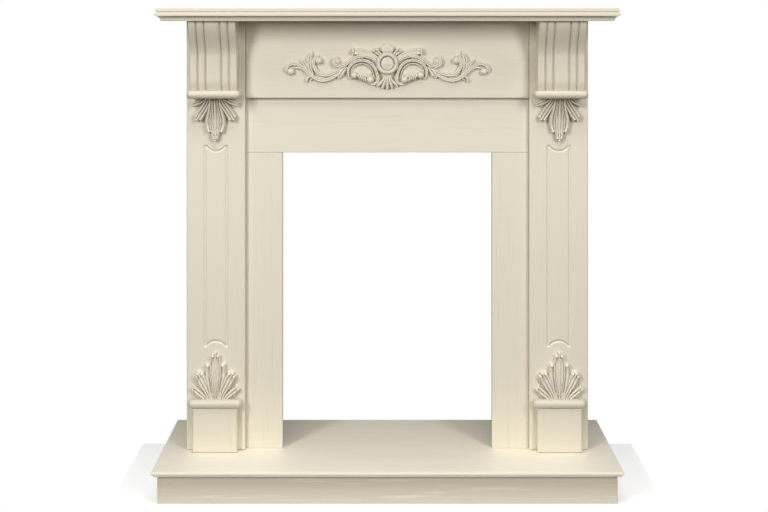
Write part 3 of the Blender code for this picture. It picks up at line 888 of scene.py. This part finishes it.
@dataclass(frozen=True)
class Turned:
    """A round shape given by its profile of (radius, height), in drawn millimetres."""

    profile: tuple[tuple[float, float], ...]
    radii: tuple[float, ...]

    def rings(self, spacing: float, behind: float) -> np.ndarray:
        """The eased profile turned about the middle.

        Args:
            spacing: Not used by a turned shape.
            behind: How far its skirt runs behind the back plane.

        Returns:
            Rings of (across, height, up), in drawn millimetres.
        """
        profile = eased(((self.profile[0][0], -behind), *self.profile), self.radii)
        turn = np.linspace(0, 2 * np.pi, 97)[None, :-1]
        xs = profile[:, :1] * np.cos(turn)
        zs = profile[:, :1] * np.sin(turn)
        return np.stack([xs, np.broadcast_to(profile[:, 1:], xs.shape), zs], axis=-1)


Shape = Strand | Dome | Turned


@dataclass
class Carving:
    """Strands and bosses grown into one carved piece on a flat back.

    The direction is 1 for a carving drawn upwards and -1 for one that hangs. Behind and
    spacing are in drawn millimetres, and keep is the share of faces left by thinning.
    """

    node: str
    name: str
    shapes: list[Shape]
    centre: float
    root: float
    voxel: float
    direction: float = 1.0
    behind: float = 0.6
    spacing: float = 1.0
    keep: float = 0.5

    def build(self) -> bpy.types.Object:
        """Sets the strands on the node's back plane and merges them.

        Drawn (across, height, up) becomes (centre + across, back - height, root + up),
        then a voxel remesh grows them into one skin, and a smoothing rounds the joins.

        Returns:
            The carving.
        """
        _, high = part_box(self.node)
        placed = []
        for shape in self.shapes:
            across, height, up = np.moveaxis(shape.rings(self.spacing, self.behind) * MM, -1, 0)
            placed.append(np.stack([
                self.centre + across, high.y - height, self.root + self.direction * up,
            ], axis=-1))
        made = piece_from_rings(self.name, placed, 60)
        grow = made.modifiers.new("grown_together", "REMESH")
        grow.mode = "VOXEL"
        grow.voxel_size = self.voxel * 1
        grow.use_smooth_shade = True
        soften = made.modifiers.new("softened", "SMOOTH")
        soften.factor = 0.5
        soften.iterations = 2
        thin = made.modifiers.new("thinned", "DECIMATE")
        thin.ratio = self.keep
        settle(made)
        return made


def both_sides(half: Sequence) -> list:
    """The given shapes and their mirror images."""
    return [*half, *(shape.mirrored() for shape in half)]


@dataclass
class FriezeOrnament:
    """The scrolled carving on the frieze, drawn in millimetres from the roundel's middle.

    The drop is how far the roundel's middle lies under the frieze's.
    """

    drop: float = 7.3 * MM
    voxel: float = 0.8 * MM

    def middle(self) -> list[Shape]:
        """The roundel, the crest above it and the fan below it.

        Returns:
            The shapes on the middle line.
        """
        roundel = Turned(
            ((24.0, 10.0), (20.6, 17.5), (16.0, 16.0), (14.9, 7.5), (12.9, 11.5), (0.5, 14.5)),
            (3.6, 3.0, 1.4, 1.0, 2.6),
        )
        crest = [
            Strand(
                ((0, 18), (0, 25), (0, 32), (0, 43.5)),
                (10.5, 13.6, 13.8, 0.8), (12, 13.5, 13, 9), Section.RIMMED,
            ),
            Strand(((0, 20), (0, 28), (0, 36)), (5.0, 7.0, 4.0), (11, 13, 9)),
        ]
        fan = []
        for share in np.linspace(-1, 1, 5):
            neck = (6.2 * share, -19.0)
            waist = (8.6 * share, -34.0)
            foot = (22.0 * share, -49.5 - 6.0 * (1 - share * share))
            fan.append(Strand((neck, waist, foot), (1.7, 2.2, 3.6, 3.4), (10, 11, 10.5, 7.5)))
        fan.append(Strand(
            ((0, -19), (0, -34), (0, -45)), (8.0, 11.0, 15.0), (5, 5.5, 3), Section.FLAT,
        ))
        return [roundel, *crest, *fan]

    def beads(self) -> list[Strand]:
        """Four short bars in a slanting row between the two knobs of the sunk field."""
        rows = [(60.4 - 4.7 * k, -28.2 - 1.6 * k) for k in range(4)]
        return [
            Strand(((x - 2.0, z - 6.6), (x + 1.6, z + 5.6)), (1.5, 1.9, 1.5), (10, 14, 10))
            for x, z in rows
        ]

    def half(self) -> list[Strand | Dome]:
        """The strands and bosses to the right of the middle."""
        return [
            # Ribbon end beside the crest, closed by a bead
            Strand(
                ((19, 8), (34, 17.5), (50, 23.5), (71, 25)),
                (4.0, 5.4, 7.0, 7.2), (11, 12, 12.5, 12.5), Section.RIMMED,
            ),
            Strand(((70.2, 32.2), (71.6, 25), (70.8, 17.2)), (3.0, 3.2, 3.0), (13, 14, 13)),
            Strand(
                ((13, 17), (22, 24), (31, 28)), (4.4, 6.0, 3.4), (10, 11.5, 9), Section.VEINED,
            ),
            Strand(((17, 25), (22, 29.0), (27, 31)), (2.6, 3.6, 2.2), (12, 13.5, 11)),
            Dome((28.4, 25.4), (3.4, 3.4), 12.5),
            # Stem that leaves the roundel and curls up at its end
            Strand(
                ((18, 0), (28, 8.4), (40, 13.4), (53, 15.0), (66, 12.2), (78, 4.8), (90, -3.6),
                 (101, -6.4), (109, -3.2), (112.4, 4), (108.6, 10.8), (102.5, 11.0)),
                (2.8, 3.4, 3.6, 3.8, 4.0, 4.0, 3.4), (12, 13, 13.5, 13.5, 13, 12, 11),
                Section.BANDED,
            ),
            Dome((105.0, 4.4), (6.4, 6.4), 10.0, 0.8),
            # Large scroll round the sunk field
            Strand(
                ((75, -34), (81, -28.5), (83.2, -18), (80.5, -8.5), (74, -0.5), (64.5, 4.6),
                 (53, 6.4), (41.5, 4.2), (32, -2.2), (25.6, -11.5), (21.8, -22), (19.6, -32),
                 (21.8, -40.0), (28.6, -43.4), (36.5, -42.5)),
                (1.6, 2.8, 3.4, 3.6, 3.6, 3.5, 3.4, 2.8), (6, 10, 12, 13.5, 13.5, 13, 12, 9),
                Section.BANDED,
            ),
            Strand(
                ((76.6, -19), (75.2, -12.4), (69.8, -6.4), (62.2, -2.2), (53, -0.8), (44, -2.6),
                 (36.5, -7.6), (31.6, -14.8), (28.2, -23), (26.8, -29)),
                (1.0, 1.5, 1.7, 1.7, 1.5, 1.0), (4, 7.5, 8.5, 8.5, 7.5, 4),
            ),
            Dome((52.0, -20.5), (21.0, 11.5), 6.0, 1.2),
            Dome((70.0, -25.0), (8.0, 8.0), 16.0, 0.8),
            Dome((35.6, -34.8), (8.0, 8.0), 16.0, 0.8),
            *self.beads(),
            # Husk between the scrolls
            Strand(
                ((86, -6), (90.5, -12), (97, -21), (104, -33)),
                (2.4, 5.6, 7.4, 1.2), (8, 10.5, 10.5, 5), Section.VEINED,
            ),
            # Long lower stem, with its curled end
            Strand(
                ((94, -17), (104, -23.5), (114, -29.3), (125, -33.8), (137, -35.8), (149, -32.6),
                 (160, -25.6), (170, -16.6), (179, -8.0), (189, -2.4), (200, -1.0), (208.6, -5.0),
                 (212.6, -12.5), (212.5, -19)),
                (2.8, 3.8, 4.4, 4.4, 4.0, 4.0, 3.0), (8, 9.5, 10, 10, 10, 10, 9),
                Section.BANDED,
            ),
            Strand(
                ((168, -20), (178, -13.5), (188, -9.4), (198, -10.2)),
                (1.6, 2.6, 2.8, 2.2), (6, 7.5, 7.5, 6),
            ),
            Dome((203.0, -17.4), (8.2, 7.6), 11.0, 0.8),
            # Upper stem, curled round its boss
            Strand(
                ((88, -6), (98, -12), (110, -18.8), (122, -23.6), (134, -24.6), (144.5, -20.6),
                 (151.6, -12.5), (155.2, -2.5), (154.6, 7.5), (150.0, 13.8), (143.6, 14.0)),
                (2.6, 3.6, 4.2, 4.2, 4.2, 3.2), (8, 9.5, 10.5, 10.5, 11, 10), Section.BANDED,
            ),
            Dome((144.4, 5.4), (8.2, 8.2), 12.5, 0.8),
            # Leaves at the fork
            Strand(
                ((156, -25), (161.5, -14), (164.2, -2), (163, 12), (157.5, 26)),
                (2.6, 4.6, 6.4, 5.6, 1.0), (8, 10, 11, 10.5, 6), Section.VEINED,
            ),
            Strand(
                ((164, -21), (169.5, -9), (175.5, 1), (183.5, 9.5)),
                (2.6, 4.0, 5.0, 2.2), (8, 9.5, 9.5, 6.5), Section.VEINED,
            ),
            # Small curl under the stem
            Strand(
                ((149, -32.0), (157.5, -27.6), (165.5, -29.4), (170.0, -35.2), (168.0, -40.0)),
                (2.0, 2.8, 3.2, 2.2), (7, 8.5, 8.5, 7),
            ),
            Strand(
                ((152, -34.0), (158.5, -32.6), (162.2, -35.4), (162.0, -38.6)),
                (1.4, 2.0, 1.4), (5, 6, 4),
            ),
        ]

    def build(self) -> bpy.types.Object:
        """Grows the whole ornament.

        Returns:
            The ornament.
        """
        low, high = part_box("frieze_panel")
        shapes = [*self.middle(), *both_sides(self.half())]
        centre = (low.x + high.x) / 2
        root = (low.z + high.z) / 2 - self.drop
        return Carving(
            "frieze_ornament", "frieze_scrollwork", shapes, centre, root, self.voxel,
        ).build()


@dataclass(frozen=True)
class Lobe:
    """One lobe of a leaf: ribs that fan out side by side over a lower web.

    The route, half-width and heights run from the root to the end. The taper is the share
    of the route by which a rib at the very edge would stop short. Web is the web's height
    as a share of the ribs', web_end the share of the route at which it closes, and
    web_width its half-width as a share of the lobe's. Fall is how much lower a rib at the
    very edge lies. A rib's tip stands up by tip_rise times the curl, and the two places
    just before it sink by the dips times the curl.
    """

    route: Route
    spread: tuple[float, ...]
    heights: tuple[float, ...]
    ribs: int
    taper: float
    curl: float = 3.4
    web: float = 0.68
    web_end: float = 0.94
    web_width: float = 0.94
    fall: float = 0.7
    dips: tuple[float, float] = (0.3, 0.1)
    tip_rise: float = 0.4
    tip_share: float = 1.3
    least_tip: float = 2.6
    spacing: float = 0.5

    def mirrored(self) -> Lobe:
        """The same lobe on the other side of the middle."""
        return replace(self, route=tuple((-x, z) for x, z in self.route))

    def shapes(self) -> list[Strand | Dome]:
        """The web and the ribs, each rib closed by a rounded tip.

        Rib k of n lies beside the route by u times the half-width, u = (2k + 1 - n) / n,
        is 1/n of the half-width to each side, and ends at the share 1 - taper u^2. At a
        share s the web narrows by the root of (web_end - s) / taper, where that is under
        1, so gaps open between the tips. Every second rib of a broad lobe has a vein.

        Returns:
            Strands and domes.
        """
        line, _ = Strand(self.route, self.spread, self.heights).line(self.spacing)
        share = np.linspace(0, 1, len(line))
        to_side = read_along(self.spread, share)[:, None] * square_to(line)
        marks = np.linspace(0, 1, 13)
        left = np.sqrt(np.clip((self.web_end - marks) / self.taper, 0.01, 1))
        made: list[Strand | Dome] = [Strand(
            self.route, tuple(self.web_width * read_along(self.spread, marks) * left),
            tuple(self.web * read_along(self.heights, marks)), Section.SOFT,
        )]
        for k in range(self.ribs):
            offset = (2 * k + 1 - self.ribs) / self.ribs
            section = Section.VEINED if k % 2 and self.ribs > 3 else Section.ROUND
            marks = np.linspace(0, 1 - self.taper * offset**2, 11)
            beside = line + offset * to_side
            points = np.stack([np.interp(marks, share, axis) for axis in beside.T], axis=-1)
            widths = read_along(self.spread, marks) / self.ribs
            heights = read_along(self.heights, marks) - self.fall * abs(offset)
            heights[-3:-1] -= self.curl * np.array(self.dips)
            route = tuple((float(x), float(z)) for x, z in points)
            made.append(Strand(route, tuple(widths), tuple(heights), section))
            tip = max(self.tip_share * float(widths[-1]), self.least_tip)
            top = float(heights[-1]) + self.tip_rise * self.curl
            made.append(Dome(route[-1], (tip, tip), top))
        return made


@dataclass
class AcanthusLeaf:
    """A carved leaf that fans from a moulding, in millimetres from the root's middle."""

    node: str
    direction: float
    voxel: float = 0.62 * MM

    def pendant_lobes(self) -> list[Lobe]:
        """Lobes of the leaf under the corbel, whose root leans out under the half round.

        Returns:
            The middle lobe, then those beside it.
        """
        middle = Lobe(
            ((0, -3), (0, 30), (0, 60), (0, 90)),
            (12.0, 13.0, 16.5, 22.0, 21.5, 15.0, 6.0), (27, 21, 16, 13.5, 13, 13, 12.5),
            5, 0.33, curl=5.0,
        )
        half = (
            Lobe(
                ((12, -3), (15.5, 9), (26.5, 27), (38.5, 46)),
                (5.5, 7.0, 8.6, 9.4, 8.2), (26, 20, 15, 13, 14), 3, 0.16,
            ),
            Lobe(
                ((18, -2), (26, 4.4), (36, 9.5), (48, 14.5)),
                (4.0, 5.2, 6.2, 5.8, 4.4), (23, 18.5, 15, 13, 13.5), 2, 0.16,
            ),
        )
        return [middle, *both_sides(half)]

    def rising_lobes(self) -> list[Lobe]:
        """Lobes of the leaf that stands on the base block's half round.

        Returns:
            The middle lobe, then those beside it.
        """
        middle = Lobe(
            ((0, -2), (0, 30), (0, 62), (0, 95.5)),
            (11.5, 13.5, 17.5, 21.5, 21.5, 18.0, 11.0), (13, 14, 15, 14.5, 13.5, 13, 12.5),
            5, 0.42, curl=4.5, web=0.76,
        )
        half = (
            Lobe(
                ((10, -2), (15, 13), (25, 32), (36, 53)),
                (5.6, 7.4, 9.2, 10.0, 8.6), (12, 12.5, 12.5, 13, 15),
                3, 0.17, curl=4.0, web=0.8,
            ),
            Lobe(
                ((18, -3), (26, 5), (36, 13.5), (47, 22.5)),
                (4.0, 5.4, 6.4, 6.2, 4.8), (10, 11, 11.5, 12, 13), 2, 0.17, curl=3.5,
            ),
        )
        return [middle, *both_sides(half)]

    def build(self) -> bpy.types.Object:
        """Grows the leaf from its lobes.

        Returns:
            The leaf.
        """
        low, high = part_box(self.node)
        root = low.z if self.direction > 0 else high.z
        lobes = self.rising_lobes() if self.direction > 0 else self.pendant_lobes()
        shapes = [shape for lobe in lobes for shape in lobe.shapes()]
        return Carving(
            self.node, f"{self.node}_carving", shapes, (low.x + high.x) / 2, root,
            self.voxel, self.direction,
        ).build()


@dataclass
class CarvedPieces:
    """Every moulded composite piece: the corbels, half rounds, leaves and ornament."""

    def build(self) -> dict[str, bpy.types.Object]:
        """Builds them all.

        Returns:
            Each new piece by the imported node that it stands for.
        """
        made = {"frieze_ornament": FriezeOrnament().build()}
        for side in SIDES:
            made[f"corbel_{side}"] = Corbel(f"corbel_{side}").build()
            for place in ("corbel_torus", "base_torus"):
                made[f"{place}_{side}"] = HalfRound(f"{place}_{side}").build()
            for place, direction in (("acanthus_pendant", -1.0), ("acanthus_rising", 1.0)):
                made[f"{place}_{side}"] = AcanthusLeaf(f"{place}_{side}", direction).build()
        return made

    def dress(self, made: dict[str, bpy.types.Object]) -> None:
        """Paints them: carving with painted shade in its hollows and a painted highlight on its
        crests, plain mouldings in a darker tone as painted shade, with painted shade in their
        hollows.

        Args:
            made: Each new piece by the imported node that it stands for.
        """
        # Carving paint: painted shade in hollows, painted highlight on crests
        carved = CastPaint("satin_paint_on_carving_painted_light", "E6DFCC", "F8F2E4", (0.492, 0.44))
        # Mouldings: a darker tone than the boards as painted shade, with painted shade in their
        # hollows
        moulded = CastPaint("satin_paint_on_mouldings_painted_shade", "D8D1BD", "D8D1BD", (0.47, 0.38))
        materials = {finish.name: finish.material() for finish in (carved, moulded)}
        for node, piece in made.items():
            finish = carved if node.startswith(("acanthus", "frieze")) else moulded
            register(piece, node, materials[finish.name])


# Studio

@dataclass(frozen=True)
class SoftLight:
    """A soft box: its place, what it points at, its width, height and power."""

    name: str
    place: tuple[float, float, float]
    target: tuple[float, float, float]
    width: float
    height: float
    power: float
    spread: float = 180.0

    def build(self) -> None:
        """Hangs the light."""
        data = bpy.data.lights.new(self.name, "AREA")
        data.shape = "RECTANGLE"
        data.size = self.width
        data.size_y = self.height
        data.spread = math.radians(self.spread)
        data.energy = self.power
        lamp = add_object(self.name, data)
        lamp.location = self.place
        aim = Vector(self.target) - Vector(self.place)
        lamp.rotation_euler = aim.to_track_quat("-Z", "Y").to_euler()


@dataclass
class Studio:
    """The pale floor, the soft lights and the camera at the photograph's place."""

    camera_place: tuple[float, float, float] = (-0.007, -2.663, 0.989)
    lens: float = 58.45
    shift_up: float = -0.3164
    surround: float = 0.08
    floor_reach: tuple[float, float, float] = (0.56, 0.21, 0.2)
    floor_glow: float = 0.55
    lights: tuple[SoftLight, ...] = (
        SoftLight("soft_box_left", (-1.6, -2.3, 1.62), (0.0, -0.05, 0.6), 0.6, 1.3, 45.5),
        SoftLight("soft_box_right", (1.6, -2.3, 1.62), (0.0, -0.05, 0.6), 0.6, 1.3, 37.0),
        SoftLight("strip_above", (0.0, -1.3, 2.9), (0.0, -0.15, 0.1), 1.2, 0.6, 4.0, 70.0),
        SoftLight("panel_overhead", (0.0, -0.5, 2.6), (0.0, -0.2, 0.0), 3.0, 0.8, 17.0),
    )

    def build_floor(self) -> None:
        """A matt pale sheet that glows softly, level at the plinth's foot."""
        mesh = bpy.data.meshes.new("studio_floor")
        side, front, back = self.floor_reach
        corners = [(-side, -front, 0), (side, -front, 0), (side, back, 0), (-side, back, 0)]
        mesh.from_pydata(corners, [], [(0, 1, 2, 3)])
        floor = add_object("studio_floor", mesh)
        matt = bpy.data.materials.new("matt_floor_paper")
        matt.use_nodes = True
        shader = matt.node_tree.nodes["Principled BSDF"]
        shader.inputs["Base Color"].default_value = linear("BCBCBC")
        shader.inputs["Roughness"].default_value = 0.9
        shader.inputs["Emission Color"].default_value = linear("FFFFFF")
        shader.inputs["Emission Strength"].default_value = self.floor_glow
        mesh.materials.append(matt)

    def build_world(self) -> None:
        """A white surround that lights the object more softly than it looks."""
        world = bpy.data.worlds.new("white_surround")
        world.use_nodes = True
        tree = world.node_tree
        seen = add_node(tree, "ShaderNodeLightPath").outputs["Is Camera Ray"]
        strength = add_node(tree, "ShaderNodeMapRange", {
            "Value": seen, "To Min": self.surround, "To Max": 1.0,
        })
        glow = tree.nodes["Background"]
        glow.inputs["Color"].default_value = (1.0, 1.0, 1.0, 1.0)
        tree.links.new(strength.outputs[0], glow.inputs["Strength"])
        bpy.context.scene.world = world

    def build_camera(self) -> None:
        """A level camera; its shift keeps the uprights parallel, as in the photograph."""
        data = bpy.data.cameras.new("view_from_front")
        data.sensor_width = 36.0
        data.lens = self.lens
        data.shift_y = self.shift_up
        camera = add_object("view_from_front", data)
        camera.location = self.camera_place
        camera.rotation_euler = (math.radians(90), 0.0, 0.0)
        bpy.context.scene.camera = camera

    def build(self) -> None:
        """Sets up the whole studio."""
        self.build_floor()
        self.build_world()
        self.build_camera()
        for light in self.lights:
            light.build()
        bpy.context.scene.view_settings.view_transform = "Standard"


def main() -> None:
    """Builds the studio and every piece."""
    logging.basicConfig(level=logging.INFO, format="%(message)s")
    Studio().build()
    Boards().dress()
    shelf = Shelf()
    shelf.dress(shelf.build_top(), shelf.build_cove())
    hearth = Hearth()
    hearth.dress(hearth.build())
    carved = CarvedPieces()
    carved.dress(carved.build())


if __name__ == "__main__":
    main()
